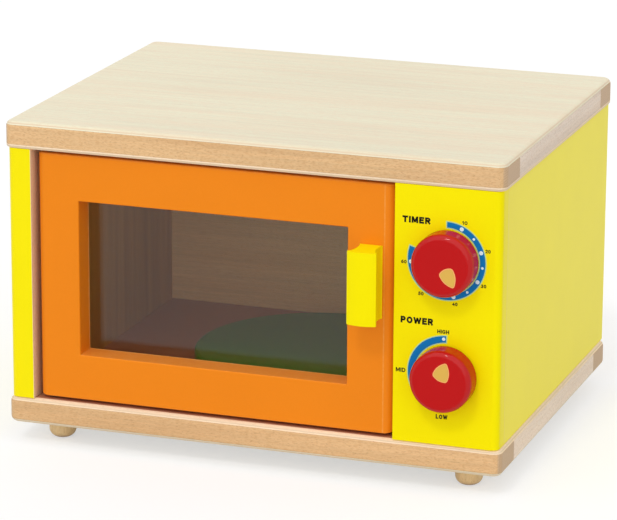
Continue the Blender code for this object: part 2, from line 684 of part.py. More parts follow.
def make_turntable(base):
    """A disc that turns on a screw, with a washer under it and its screw head sunk in its top."""
    line = Vector((0.0, TURNTABLE_Y, 0.0))
    up = directions("Z")[-1]
    profile = rounded_rod(TURNTABLE_RADIUS, TURNTABLE_LOW, TURNTABLE_TOP, TURNTABLE_EDGE, TURNTABLE_EDGE)
    disc = turned("turntable", profile, line, "Z", FINISHES["green"], SIDES_TURNTABLE)
    shank = TURNTABLE_SCREW_DIAMETER / 2
    hole = shank + FIT
    tip = BASE_TOP - HOLE_IN_BOARD + FIT
    head_low = TURNTABLE_TOP - FIT - TURNTABLE_HEAD_THICK
    profile = bolt_profile(shank, TURNTABLE_HEAD_RIM, tip, head_low, TURNTABLE_HEAD_THICK)
    turned("turntable_screw", profile, line, "Z", FINISHES["steel"], SIDES_PIN)
    foot = line + up * (BASE_TOP + FIT)
    thick = TURNTABLE_WASHER_THICK
    washer("turntable_washer", foot, "Z", hole, TURNTABLE_WASHER_RIM, thick, FINISHES["nylon"])
    targets = (disc, base["inner"], base["centre"])
    depth = TURNTABLE_TOP + OVERRUN - tip
    bore(targets, "turntable_screw", line + up * (tip - FIT), "Z", hole, depth, SIDES_PIN)
    sunk = TURNTABLE_HEAD_THICK + FIT * 2 + OVERRUN
    rim = hole + TURNTABLE_HEAD_RIM
    bore([disc], "turntable_head", line + up * (head_low - FIT), "Z", rim, sunk, SIDES_PIN)
    return disc


def hang_on(name, place_on_axis, pieces):
    """Parents pieces to an empty on their joint's axis and leaves them where they are."""
    pivot = bpy.data.objects.new(name, None)
    pivot.location = place_on_axis
    bpy.context.scene.collection.objects.link(pivot)
    for piece in pieces:
        piece.parent = pivot
        piece.matrix_parent_inverse = Matrix.Translation(-place_on_axis)


clear_scene()
FINISHES = {
    "beech": make_finish("beech", BEECH, 0.55),
    "ply": make_finish("pale_ply", PALE_PLY, 0.5),
    "yellow": make_finish("yellow_paint", YELLOW, 0.3),
    "orange": make_finish("orange_paint", ORANGE, 0.3),
    "red": make_finish("red_gloss", RED, 0.12),
    "green": make_finish("green_paint", GREEN, 0.4),
    "steel": make_finish("zinc_steel", STEEL, 0.3, metallic=1.0),
    "nylon": make_finish("nylon", NYLON, 0.45),
    "smoke": make_finish("smoked_acrylic", SMOKE, 0.05, transmission=0.8),
}

base_board, top_board = make_base_and_top()
side_panels = make_panels()
make_feet(base_board)
make_dowels(base_board, top_board, side_panels)
make_back_screws(side_panels)

door_frame = make_door()
door_pieces = [door_frame, make_catch(door_frame)]
door_pieces += make_window(door_frame) + make_handle(door_frame)
make_pivot(door_frame, base_board, top_board)
hang_on("door_pivot", Vector((PIVOT_X, PIVOT_Y, DOOR_LOW)), door_pieces)

for knob_label, knob_z in KNOB_HEIGHTS.items():
    knob_pieces = make_knob(knob_label, knob_z, side_panels["control"])
    hang_on(f"{knob_label}_axis", Vector((KNOB_X, KNOB_FRONT, knob_z)), knob_pieces)

hang_on("turntable_axis", Vector((0.0, TURNTABLE_Y, TURNTABLE_LOW)), [make_turntable(base_board)])
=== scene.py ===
"""The looks of a wooden play microwave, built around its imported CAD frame. Metres, +Z up, -Y to the front."""

import math

import bmesh
import bpy
import numpy as np
from mathutils import Matrix, Vector


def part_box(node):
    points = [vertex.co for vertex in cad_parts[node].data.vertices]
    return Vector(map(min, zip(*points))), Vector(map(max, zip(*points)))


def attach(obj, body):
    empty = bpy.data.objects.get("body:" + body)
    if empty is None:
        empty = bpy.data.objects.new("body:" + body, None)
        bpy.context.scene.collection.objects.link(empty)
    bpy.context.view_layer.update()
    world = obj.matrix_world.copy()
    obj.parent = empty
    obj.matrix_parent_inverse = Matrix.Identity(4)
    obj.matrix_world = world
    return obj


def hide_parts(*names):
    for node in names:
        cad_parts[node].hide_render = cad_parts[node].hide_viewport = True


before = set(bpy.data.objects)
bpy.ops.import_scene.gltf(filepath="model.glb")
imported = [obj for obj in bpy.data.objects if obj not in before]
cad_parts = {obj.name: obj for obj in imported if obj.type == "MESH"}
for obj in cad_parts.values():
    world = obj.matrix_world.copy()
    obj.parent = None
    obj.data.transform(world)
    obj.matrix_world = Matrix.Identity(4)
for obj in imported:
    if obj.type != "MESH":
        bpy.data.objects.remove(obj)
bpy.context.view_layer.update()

MM = 0.001

# The door frame's sides, of which the one at the hinge is narrower, and the rounding of its uprights
STILE = 30.6 * MM
HINGE_STILE = 29.2 * MM
UPRIGHT_ROUNDING = 6 * MM

# The radius at which a turned shape closes on its axis, and how far a print goes into the face under it
ON_AXIS = 0.01 * MM
PRINT_SUNK = 0.02 * MM

# Steps on the arc of a corner and on the arc of an edge
CORNER_TURNS = 12
EDGE_TURNS = 7

# Which of (u, v, height) gives X, Y and Z, for a shape that runs along an axis
AXIS_ORDER = {"Y": (0, 2, 1), "Z": (0, 1, 2)}


# Numbers and colours inside a finish


class Wire:
    """The output of one shader node. Sums on it write Math nodes."""

    def __init__(self, nodes, socket):
        self.nodes = nodes
        self.socket = socket

    def math(self, operation, *values):
        inputs = dict(enumerate(values))
        return self.nodes.node("ShaderNodeMath", {"operation": operation}, inputs)

    def __add__(self, other):
        return self.math("ADD", self, other)

    def __radd__(self, other):
        return self.math("ADD", other, self)

    def __sub__(self, other):
        return self.math("SUBTRACT", self, other)

    def __rsub__(self, other):
        return self.math("SUBTRACT", other, self)

    def __mul__(self, other):
        return self.math("MULTIPLY", self, other)

    def __truediv__(self, other):
        return self.math("DIVIDE", self, other)

    def __pow__(self, other):
        return self.math("POWER", self, other)

    def __abs__(self):
        return self.math("ABSOLUTE", self)

    def most(self, other):
        return self.math("MAXIMUM", self, other)

    def least(self, other):
        return self.math("MINIMUM", self, other)

    def sine(self):
        return self.math("SINE", self)

    def rise(self, low, high):
        """0 below low and 1 above high, smooth between. With low over high it falls."""
        start, end = (0.0, 1.0) if low < high else (1.0, 0.0)
        low, high = sorted((low, high))
        inputs = {"Value": self, "From Min": low, "From Max": high, "To Min": start, "To Max": end}
        return self.nodes.node("ShaderNodeMapRange", {"interpolation_type": "SMOOTHSTEP"}, inputs)


class Nodes:
    """The node tree of a material or a world that is being written."""

    def __init__(self, owner):
        owner.use_nodes = True
        self.tree = owner.node_tree
        self.tree.nodes.clear()

    def node(self, kind, settings=None, inputs=None, output=0):
        """A new node: its settings first, then a value or a link for each socket named."""
        node = self.tree.nodes.new(kind)
        for name, value in (settings or {}).items():
            setattr(node, name, value)
        for name, value in (inputs or {}).items():
            self.plug(node.inputs[name], value)
        return Wire(self, node.outputs[output]) if node.outputs else node

    def plug(self, socket, value):
        if isinstance(value, Wire):
            self.tree.links.new(value.socket, socket)
        else:
            socket.default_value = value


class Finish(Nodes):
    """A material with one Principled shader, and the patterns that feed it."""

    def __init__(self, name, roughness, metallic=0.0, shine=0.5):
        self.material = bpy.data.materials.new(name)
        super().__init__(self.material)
        settings = {"Roughness": roughness, "Metallic": metallic, "Specular IOR Level": shine}
        shader = self.node("ShaderNodeBsdfPrincipled", inputs=settings)
        self.sockets = shader.socket.node.inputs
        self.node("ShaderNodeOutputMaterial", inputs={"Surface": shader})
        self.spot = None

    def set(self, socket, value):
        self.plug(self.sockets[socket], value)

    def place(self):
        """X, Y and Z of the point on the piece, in metres."""
        if self.spot is None:
            self.spot = self.split(self.node("ShaderNodeTexCoord", output=3))
        return self.spot

    def facing(self):
        """X, Y and Z of the surface's own direction."""
        return self.split(self.node("ShaderNodeTexCoord", output=1))

    def split(self, vector):
        return [self.node("ShaderNodeSeparateXYZ", inputs={0: vector}, output=i) for i in range(3)]

    def stretched(self, sizes):
        """The place over a size in mm along each axis, so that one cell of a pattern has those sizes."""
        parts = [axis / (size * MM) for axis, size in zip(self.place(), sizes)]
        return self.node("ShaderNodeCombineXYZ", inputs=dict(enumerate(parts)))

    def clouds(self, sizes, detail, roughness, twist=0.0):
        """Soft noise of 0 to 1 whose cells have a size in mm along each axis."""
        inputs = {
            "Vector": self.stretched(sizes),
            "Scale": 1.0,
            "Detail": detail,
            "Roughness": roughness,
            "Distortion": twist,
        }
        return self.node("ShaderNodeTexNoise", inputs=inputs)

    def flecks(self, sizes, share, size):
        """1 in scattered spindle-shaped spots, one in each of a share of the cells, with sizes in mm."""
        cells = {"Vector": self.stretched(sizes), "Scale": 1.0, "Randomness": 1.0}
        near = self.node("ShaderNodeTexVoronoi", inputs=cells)
        chance = self.node("ShaderNodeTexVoronoi", inputs=cells, output=1)
        picked = self.node("ShaderNodeSeparateColor", inputs={0: chance}).rise(1.0 - share, 1.05 - share)
        return near.rise(size, size * 0.45) * picked

    def mix(self, mask, first, second):
        """A colour: first where the mask is 0 and second where it is 1."""
        settings = {"data_type": "RGBA", "clamp_factor": True}
        first, second = (c if isinstance(c, Wire) else (*c, 1.0) for c in (first, second))
        return self.node("ShaderNodeMix", settings, {0: mask, 6: first, 7: second}, output=2)

    def tint(self, colour, amount):
        """A colour times a number."""
        settings = {"operation": "SCALE"}
        return self.node("ShaderNodeVectorMath", settings, {0: colour, "Scale": amount})

    def relief(self, height, distance, strength):
        """Raises the surface by a height of 0 to 1 times a distance."""
        inputs = {"Height": height, "Distance": distance, "Strength": strength}
        self.set("Normal", self.node("ShaderNodeBump", inputs=inputs))


def rgb(red, green, blue):
    """A colour picked from 0 to 255, as the light values that a shader takes."""
    values = np.array((red, green, blue)) / 255
    return tuple(np.where(values <= 0.04045, values / 12.92, ((values + 0.055) / 1.055) ** 2.4))


# Finishes


def wood_pattern(finish, along, ground, warm, fleck, contrast):
    """Sawn beech or birch with its grain along an axis. Broad warm streaks and fine fibres are noise drawn
    out along the grain, and the short dark rays are drawn-out cells. Returns the colour and the height."""

    def sizes(length, width):
        return [length if axis == along else width for axis in "XYZ"]

    board_tone = finish.clouds(sizes(300, 120), 1.0, 0.5, 0.2)
    streak = finish.clouds(sizes(260, 16), 2.0, 0.5, 0.4)
    band = finish.clouds(sizes(140, 2.6), 3.0, 0.6, 0.2)
    fibre = finish.clouds(sizes(11, 0.5), 3.0, 0.65)
    mottle = finish.clouds(sizes(3.0, 1.0), 2.0, 0.6, 0.3)
    rays = finish.flecks(sizes(3.2, 0.95), 0.75, 0.30)
    pores = finish.flecks(sizes(1.9, 0.34), 0.5, 0.3)
    colour = finish.mix(streak.rise(0.36, 0.70) * (0.25 + 0.2 * contrast), ground, warm)
    colour = finish.mix(mottle.rise(0.44, 0.64) * (0.55 * contrast), colour, warm)
    grain = (band - 0.5) * 0.34 + (fibre - 0.5) * 0.36 + (board_tone - 0.5) * 0.3
    colour = finish.tint(colour, 1.0 + grain * contrast)
    colour = finish.mix((rays * 0.34 + pores * 0.15) * contrast, colour, fleck)
    return colour, fibre * 0.6 + (1.0 - rays) * 0.3 + (1.0 - pores) * 0.2


def end_grain(finish, along, ground, line):
    """The cut ends of a rail: curved year rings, 1.5 mm apart, round a far heart, with fine pores."""
    x, y, z = finish.place()
    u, v = {"X": (y, z), "Y": (x, z), "Z": (x, y)}[along]
    wobble = finish.clouds((9, 9, 9), 3.0, 0.6)
    far_u, far_v = u + 31 * MM, v - 20 * MM
    ring = (far_u * far_u + far_v * far_v) ** 0.5
    year = (ring * (2 * math.pi / (1.5 * MM)) + wobble * 9.0).sine()
    pore = finish.clouds((0.5, 0.5, 0.5), 2.0, 0.7)
    return finish.mix(year.rise(-0.6, 1.0) * 0.4 + pore.rise(0.4, 0.7) * 0.5, ground, line)


def glue_layers(finish, colour, darker):
    """The cross-laid layer in the middle of each skin, seen on its edges."""
    height = finish.place()[2]
    skins = ("base_outer_skin", "base_inner_skin", "top_inner_skin", "top_outer_skin")
    layers = [abs(height - float(node_middle(name)[2])).rise(0.62 * MM, 0.42 * MM) for name in skins]
    middle = sum(layers[1:], layers[0])
    return finish.mix(middle * abs(finish.facing()[2]).rise(0.85, 0.6), colour, darker)


def cavity_floor(finish, colour, paint):
    """The painted ground of the cavity, from under the door's front face to just under the back panel. The
    paint reaching forward under the door also stands for painted shade in the gap below it.
    """
    x, y, z = finish.place()
    left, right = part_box("left_side_panel")[1].x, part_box("door_stop_batten")[1].x
    # The paint's front edge is at the door's front face, so that it darkens the gap under the door: painted
    # shade
    front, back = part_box("door_frame")[0].y + 2.6 * MM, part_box("back_panel")[0].y - 1.5 * MM
    reach = (x - left).least(right - x).least((y - front).least(back - y)) + 3 * MM
    reach = reach.least(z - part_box("base_inner_skin")[0].z)
    return finish.mix(reach.rise(0.2 * MM, 0.6 * MM), colour, paint)


def bare_wood(
    name, along, ground, warm, fleck, roughness=0.42, contrast=1.0, ends=None, layer=None, inside=None
):
    """Sawn wood, with end grain, the layers of a skin's edge or a painted cavity floor, with painted shade
    in the gap under the door, where asked.
    """
    finish = Finish(name, roughness, shine=0.32)
    colour, height = wood_pattern(finish, along, ground, warm, fleck, contrast)
    if ends:
        mask = abs(finish.facing()["XYZ".index(along)]).rise(0.6, 0.8)
        colour = finish.mix(mask, colour, end_grain(finish, along, *ends))
    if layer:
        colour = glue_layers(finish, colour, layer)
    if inside:
        colour = cavity_floor(finish, colour, paint_pattern(finish, inside, inside)[0])
    finish.set("Base Color", colour)
    finish.set("Roughness", roughness + (height - 0.5) * 0.18)
    finish.relief(height, 0.05 * MM, 0.5)
    return finish


def paint_pattern(finish, colour, worn, edges=None):
    """Sprayed satin paint on sanded wood: a fine orange peel, faint clouds of tone and, where edges are
    given as a mask, the worn tone along them, for a thin coat and for painted highlights."""
    broad = finish.clouds((60, 45, 50), 3.0, 0.55)
    peel = finish.clouds((1.5, 1.5, 1.5), 3.0, 0.55)
    grain = finish.clouds((20, 0.8, 0.8), 2.0, 0.5)
    dust = finish.flecks((7, 7, 7), 0.22, 0.05)
    toned = finish.tint(colour, 1.0 + (broad - 0.5) * 0.07 + (peel - 0.5) * 0.035)
    toned = finish.mix(dust * 0.25, toned, worn)
    if edges is not None:
        broken = finish.clouds((3, 3, 3), 3.0, 0.7)
        # The worn tone along the mask: thin coat on edges, and painted highlights where the mask has them
        toned = finish.mix(edges * (0.35 + broken.rise(0.42, 0.66) * 0.3), toned, worn)
    return toned, peel * 0.75 + grain * 0.25


def cavity_side(finish, height):
    """The side panel's wood inside the cavity, behind the pane, in painted shade: darker, with upright
    streaks, and lighter from 50 mm up to 150 mm above the floor, so the painted shade is deepest low down.
    height is the wood's own."""
    streaks = finish.clouds((20, 11, 220), 2.0, 0.6)
    # Painted shade: the wood is darkest at the floor and lighter from 50 mm up to 150 mm
    level = finish.place()[2].rise(50 * MM, 150 * MM) * 0.15 + (streaks - 0.5) * 0.5
    return finish.tint(CAVITY_SIDE_SHADE, 0.76 + height * 0.25 + level)


def painted(name, colour, worn, roughness=0.3, edges=None, shine=0.35, raw=None):
    """Painted wood. edges and raw are functions that give the masks of the lighter tone along the edges,
    which is thin coat and painted highlight, and of what was left unpainted; that bare wood is in painted
    shade behind the pane."""
    finish = Finish(name, roughness, shine=shine)
    mask = edges(finish) if edges else None
    toned, height = paint_pattern(finish, colour, worn, mask)
    rough = roughness + (height - 0.5) * 0.10
    if raw:
        bare = raw(finish)
        wood, wood_height = wood_pattern(finish, "Z", *RAW_WOOD, 0.9)
        # Behind the pane the bare wood takes the darker cavity copy: painted shade
        behind = finish.place()[1].rise(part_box("door_window")[0].y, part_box("door_window")[1].y)
        wood = finish.mix(behind, wood, cavity_side(finish, wood_height))
        toned = finish.mix(bare, toned, wood)
        rough = rough + bare * (0.55 - roughness)
        height = height * (1.0 - bare) + wood_height * bare
    finish.set("Base Color", toned)
    finish.set("Roughness", rough)
    finish.relief(height, 0.03 * MM, 0.35)
    return finish


# Each wood's ground, warm streak and fleck, then cut ends, single tones, and yellow with its worn tone
PALE = rgb(238, 231, 202), rgb(238, 210, 178), rgb(206, 172, 134)
VENEER_EDGE = rgb(252, 228, 196), rgb(240, 210, 172), rgb(206, 166, 124)
BEECH = rgb(228, 188, 138), rgb(210, 162, 110), rgb(156, 100, 58)
# A paler, greyer copy of the beech for the side rails, with more blue against the yellow light bounced onto
# them: painted light
SIDE_BEECH_PAINTED_LIGHT = rgb(242, 224, 206), rgb(226, 198, 170), rgb(180, 136, 102)
# A lighter copy of the beech for the feet, lifting the shade under the board: painted light
FOOT_BEECH_PAINTED_LIGHT = rgb(246, 214, 162), rgb(232, 190, 134), rgb(176, 124, 78)
RAW_WOOD = rgb(240, 212, 180), rgb(226, 190, 152), rgb(186, 138, 100)
BACK_BOARD = rgb(252, 218, 152), rgb(246, 204, 136), rgb(198, 146, 90)
BEECH_ENDS = rgb(210, 178, 142), rgb(180, 146, 110)
CROSS_LAYER = rgb(226, 202, 170)
# Brown paint of the cavity floor, which also serves as painted shade in the gap under the door
CAVITY_PAINT_AND_GAP_SHADE = rgb(190, 130, 98)
# A darker copy of the side panels' wood for inside the cavity: painted shade
CAVITY_SIDE_SHADE = rgb(206, 156, 86)
YELLOW = rgb(252, 236, 2), rgb(252, 240, 120)


def door_edges(finish):
    """A mask for the door's lighter tone: the thin sprayed coat on the outer edges, and painted highlights on
    the turn of the right upright's round edge, on upward faces such as the sill of the opening, and most
    where the opening meets the pane."""
    low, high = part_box("door_frame")
    x, y, z = finish.place()
    reach = (x - low.x).least(high.x - x).least((z - low.z).least(high.z - z))
    sideways = (low.x + HINGE_STILE - x).most(x - (high.x - STILE))
    up_or_down = (low.z + STILE - z).most(z - (high.z - STILE))
    near_pane = (y - (high.y - 2.8 * MM)).rise(0.0, 0.6 * MM)
    # Painted highlight: a light line round the opening where it meets the pane
    opening = abs(sideways.most(up_or_down) - 0.3 * MM).rise(0.9 * MM, 0.4 * MM) * near_pane
    # Painted highlight along the turn of the right upright's round edge
    turn = abs(high.x - x - (UPRIGHT_ROUNDING - 0.1 * MM)).rise(0.7 * MM, 0.2 * MM)
    # Painted light on upward faces, such as the sill of the opening
    sill = finish.facing()[2].rise(0.5, 0.9)
    # The outer edges' thin coat is wear; the other three are painted highlights
    return (reach.rise(1.2 * MM, 0.2 * MM) * 0.5).most(turn * 0.7).most(sill * 0.5).most(opening * 1.5)


def beyond(axis, face, way):
    """A mask of 1 on a face that was left unpainted, at a place along an axis. way, 1 or -1, goes from the
    face into the painted part."""
    low, high = face + way * 0.45 * MM, face + way * 0.15 * MM
    return lambda finish: finish.place()["XYZ".index(axis)].rise(low, high)


def knob_red():
    """Glossy red, with more clear coat on the rounding than on the front."""
    finish = painted("red_knob", rgb(192, 14, 16), rgb(206, 60, 56), roughness=0.25, shine=0.02)
    rounding = abs(finish.facing()[1]).rise(0.99, 0.94)
    finish.set("Coat Weight", 0.2 + rounding * 0.3)
    return finish


def zinc_steel():
    """Zinc-plated steel, with fine turned lines and patches of tone."""
    finish = Finish("zinc_steel", 0.32, metallic=1.0)
    turned_lines = finish.clouds((3, 0.12, 3), 3.0, 0.6)
    patches = finish.clouds((2.2, 2.2, 2.2), 2.0, 0.5)
    finish.set("Base Color", finish.tint((0.62, 0.63, 0.64), 0.9 + patches * 0.2))
    finish.set("Roughness", 0.24 + patches * 0.16)
    finish.relief(turned_lines, 0.01 * MM, 0.4)
    return finish


def black_nylon():
    finish = Finish("nylon", 0.42)
    cloud = finish.clouds((1.6, 1.6, 1.6), 3.0, 0.6)
    finish.set("Base Color", finish.tint((0.03, 0.03, 0.03), 0.8 + cloud * 0.4))
    finish.set("Roughness", 0.36 + cloud * 0.14)
    finish.relief(cloud, 0.02 * MM, 0.4)
    return finish


def smoked_acrylic():
    """The pane: thin brown smoke with a strong reflection and faint smears."""
    finish = Finish("smoked_acrylic", 0.06)
    smear = finish.clouds((40, 10, 26), 3.0, 0.6, 0.6)
    finish.set("Base Color", finish.tint((0.05, 0.02, 0.008), 0.92 + smear * 0.16))
    finish.set("Roughness", 0.01 + smear * 0.03)
    finish.set("Alpha", 0.07)
    finish.set("IOR", 3.9)
    return finish


def make_finishes():
    """Each material under the short name that pieces call it by."""
    bare_left = beyond("X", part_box("left_side_panel")[1].x, -1)
    bare_right = beyond("X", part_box("right_side_panel")[0].x, 1)
    bare_back = beyond("Y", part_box("control_panel")[1].y, -1)
    skin = {"roughness": 0.5, "contrast": 0.8, "layer": CROSS_LAYER}
    ink = {"roughness": 0.4, "shine": 0.1}
    mark = {"roughness": 0.35, "shine": 0.1}
    made = {
        "pale": bare_wood("pale_veneer", "X", *PALE, roughness=0.40, contrast=0.55, layer=CROSS_LAYER),
        "skin": bare_wood("inner_veneer", "X", *VENEER_EDGE, **skin),
        "cavity_skin": bare_wood("cavity_veneer", "X", *VENEER_EDGE, **skin, inside=CAVITY_PAINT_AND_GAP_SHADE),
        "beech_x": bare_wood("beech_front_rail", "X", *BEECH, ends=BEECH_ENDS),
        "beech_y": bare_wood("beech_side_rail", "Y", *SIDE_BEECH_PAINTED_LIGHT, ends=BEECH_ENDS),
        "beech_z": bare_wood("beech_upright", "Z", *BEECH, ends=BEECH_ENDS),
        "foot": bare_wood("beech_foot", "Z", *FOOT_BEECH_PAINTED_LIGHT, ends=BEECH_ENDS, contrast=0.7),
        "back": bare_wood("back_board", "X", *BACK_BOARD, roughness=0.5, contrast=0.9),
        "yellow_left": painted("yellow_left_panel", *YELLOW, shine=0.1, raw=bare_left),
        "yellow_right": painted("yellow_right_panel", *YELLOW, shine=0.1, raw=bare_right),
        "yellow_control": painted("yellow_control_panel", *YELLOW, shine=0.05, raw=bare_back),
        "yellow_handle": painted("yellow_handle", *YELLOW, shine=0.05),
        # The door's worn tone also draws its painted highlights, along the mask of its edges
        "orange": painted("orange_door", rgb(242, 137, 24), rgb(250, 176, 96), shine=0.10, edges=door_edges),
        "red": knob_red(),
        "green": painted("green_turntable", rgb(60, 134, 46), rgb(80, 150, 74), roughness=0.35),
        "blue": painted("blue_print", rgb(14, 122, 192), rgb(60, 140, 190), **ink),
        "outline": painted("pale_green_print", rgb(190, 228, 160), rgb(180, 215, 150), **ink),
        "dot": painted("white_print", rgb(225, 250, 255), rgb(215, 235, 235), **ink),
        "black": painted("black_print", rgb(34, 30, 20), rgb(60, 58, 52), **ink),
        "tan": painted("tan_mark", rgb(225, 180, 85), rgb(236, 200, 130), **mark),
        "rim": painted("peach_mark_rim", rgb(250, 178, 112), rgb(250, 190, 130), **mark),
        "steel": zinc_steel(),
        "nylon": black_nylon(),
        "smoke": smoked_acrylic(),
    }
    return {name: finish.material for name, finish in made.items()}


# Shapes


def quarter(steps):
    """Even angles over a quarter turn."""
    return np.linspace(0.0, math.pi / 2, steps + 1)


def rounded_outline(u_span, v_span, radii, inset, free):
    """A rectangle's outline, anticlockwise from its lower left. Each corner is an arc of its own radius
    about a fixed centre, and an inset draws every point in, apart from sides that aren't free: low u, high
    u, low v and high v. The result is an array of (u, v)."""
    parts = []
    for i, ((su, sv), radius) in enumerate(zip(((-1, -1), (1, -1), (1, 1), (-1, 1)), radii)):
        centre = np.array((u_span[su > 0] - su * radius, v_span[sv > 0] - sv * radius))
        angle = math.pi + i * math.pi / 2 + quarter(CORNER_TURNS)
        reach = max(radius - inset, 0.0)
        shift = np.array((su * free[su > 0], sv * free[2 + (sv > 0)])) * min(radius - inset, 0.0)
        parts.append(centre + shift + reach * np.stack((np.cos(angle), np.sin(angle)), -1))
    return np.concatenate(parts)


def lifted(outlines, heights, axis):
    """Stacks (u, v) outlines at heights along an axis into an array of rings of points."""
    rings = np.stack([np.column_stack((o, np.full(len(o), w))) for o, w in zip(outlines, heights)])
    return rings[:, :, AXIS_ORDER[axis]]


def unit(vectors):
    """Vectors made 1 long."""
    return vectors / np.linalg.norm(vectors, axis=-1, keepdims=True)


def eased(points, radii, steps):
    """A polyline of (radius, height) points with an arc in place of each corner that has a radius. Each
    arc runs between the points where a circle of that radius touches the corner's two sides."""
    points = np.asarray(points, float)
    made = [points[:1]]
    for before, corner, after, radius in zip(points, points[1:], points[2:], radii[1:]):
        if not radius:
            made.append(corner[None])
            continue
        back, ahead = unit(before - corner), unit(after - corner)
        half = math.acos(float(np.clip(back @ ahead, -1, 1))) / 2
        centre = corner + unit(back + ahead) * radius / math.sin(half)
        start = corner + back * radius / math.tan(half) - centre
        end = corner + ahead * radius / math.tan(half) - centre
        sweep = math.atan2(start[0] * end[1] - start[1] * end[0], float(start @ end))
        turn = np.linspace(0.0, sweep, steps + 1)[:, None]
        side = np.array((-start[1], start[0]))
        made.append(centre + start * np.cos(turn) + side * np.sin(turn))
    return np.concatenate(made + [points[-1:]])


def mesh_of(name, rings, ring_of_rings=False):
    """A mesh over a closed ring of columns and a stack of rows, as quads, with a flat face on the first
    and last rows unless the stack is a ring too. Doubles are merged and faces turned outwards."""
    rows, columns = rings.shape[:2]
    index = np.arange(rows * columns).reshape(rows, columns)
    if ring_of_rings:
        index = np.vstack((index, index[:1]))
    low, high = index[:-1], index[1:]
    quads = np.stack((low, np.roll(low, -1, 1), np.roll(high, -1, 1), high), -1).reshape(-1, 4)
    faces = quads.tolist()
    if not ring_of_rings:
        faces += [index[0, ::-1].tolist(), index[-1].tolist()]
    mesh = bpy.data.meshes.new(name)
    mesh.from_pydata(rings.reshape(-1, 3).tolist(), [], faces)
    shape = bmesh.new()
    shape.from_mesh(mesh)
    bmesh.ops.remove_doubles(shape, verts=shape.verts, dist=1e-7)
    bmesh.ops.recalc_face_normals(shape, faces=shape.faces)
    shape.to_mesh(mesh)
    shape.free()
    return mesh


def prism(name, outline, span, axis):
    """An outline run along an axis, over a span of it."""
    return mesh_of(name, lifted([outline, outline], span, axis))


def added(name, data):
    """A new object in the scene."""
    made = bpy.data.objects.new(name, data)
    bpy.context.scene.collection.objects.link(made)
    return made


def piece(mesh, finish, body, stands_for, crease=32, bevel=0.0):
    """Puts a mesh in the scene as a piece that rides on a body, with its flat faces kept flat. stands_for
    is the node that it replaces, or None."""
    made = added(mesh.name, mesh)
    mesh.materials.append(FINISHES[finish])
    mesh.shade_smooth()
    if bevel:
        edges = made.modifiers.new("eased edges", "BEVEL")
        edges.width = bevel
        edges.segments = 4
        edges.limit_method = "ANGLE"
        edges.angle_limit = math.radians(40)
    else:
        mesh.set_sharp_from_angle(angle=math.radians(crease))
    made.modifiers.new("flat faces", "WEIGHTED_NORMAL").keep_sharp = True
    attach(made, body)
    if stands_for:
        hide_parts(stands_for)


def board(name, spans, radii, stations=None, free=(1, 1, 1, 1)):
    """A flat board: a rounded outline run upwards, drawn in at each station's height by its inset."""
    heights, insets = stations or (spans[2], (0.0, 0.0))
    outlines = [rounded_outline(spans[0], spans[1], radii, inset, free) for inset in insets]
    return mesh_of(name, lifted(outlines, heights, "Z"))


def rounded_side(low, high, outer_low, outer_high, below, above):
    """Heights and insets of one layer of a stack whose lower and upper edges are quarter circles: a point
    at a depth h in from the stack's face is drawn in by r - sqrt(r^2 - (r - h)^2), and by nothing further
    in."""
    turn = 1 - np.cos(quarter(8))
    heights = np.unique(np.concatenate(((low, high), outer_low + below * turn, outer_high - above * turn)))
    heights = heights[(heights >= low) & (heights <= high)]
    insets = np.zeros(len(heights))
    for radius, depth in ((below, heights - outer_low), (above, outer_high - heights)):
        insets += radius - np.sqrt(radius**2 - np.clip(radius - depth, 0.0, radius) ** 2)
    return heights, insets


def turned(name, profile, centre, axis="Z", sides=96, reshape=None, ring=False):
    """A profile of (radius, height) turned about an axis through a centre: radius times (cos, sin) across
    the axis, and height along it. reshape may change the array of radii and heights at each angle. With
    ring, the profile is a closed section."""
    profile = np.asarray(profile, float)
    angle = np.linspace(0.0, 2 * math.pi, sides, endpoint=False)[None, :]
    radius = np.repeat(profile[:, :1], sides, 1)
    height = np.repeat(profile[:, 1:], sides, 1)
    if reshape:
        radius, height = reshape(radius, height, angle)
    points = np.stack((radius * np.cos(angle), radius * np.sin(angle), height), -1)
    return mesh_of(name, points[..., AXIS_ORDER[axis]] + np.asarray(centre, float), ring_of_rings=ring)


def node_middle(name):
    """The middle of a CAD node's box."""
    low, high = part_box(name)
    return np.array((low + high) / 2)


def round_node(name, axis):
    """A round CAD node: the middle across its axis with 0 along it, the radius, and both ends along it."""
    low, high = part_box(name)
    along = "XYZ".index(axis)
    middle = node_middle(name)
    middle[along] = 0
    across = (along + 1) % 3
    return middle, (high[across] - low[across]) / 2, low[along], high[along]


# The case


def make_boards():
    """The two sandwich boards. Each has an outer and an inner skin on a frame of front, back, left and
    right rails. Their edges are rounded through the skins and just into the rails, the lower edge of the
    top less."""
    corner = 6.5 * MM
    round_front, round_back, square = (corner, corner, 0, 0), (0, 0, corner, corner), (0,) * 4
    for prefix, below, above in (("base", 4 * MM, 4 * MM), ("top", 1.6 * MM, 4 * MM)):
        skins = [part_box(f"{prefix}_{side}_skin") for side in ("outer", "inner")]
        bottom, top = min(box[0].z for box in skins), max(box[1].z for box in skins)
        for part, radii, free, finish in (
            ("outer_skin", (corner,) * 4, (1, 1, 1, 1), "pale"),
            ("inner_skin", (corner,) * 4, (1, 1, 1, 1), "cavity_skin" if prefix == "base" else "skin"),
            ("front_rail", round_front, (1, 1, 1, 0), "beech_x"),
            ("back_rail", round_back, (1, 1, 0, 1), "beech_x"),
            ("left_rail", square, (1, 0, 0, 0), "beech_y"),
            ("right_rail", square, (0, 1, 0, 0), "beech_y"),
        ):
            name = f"{prefix}_{part}"
            low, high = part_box(name)
            stations = rounded_side(low.z, high.z, bottom, top, below, above)
            mesh = board(f"{name}_fine", list(zip(low, high)), radii, stations, free)
            piece(mesh, finish, "cabinet", name, crease=50)


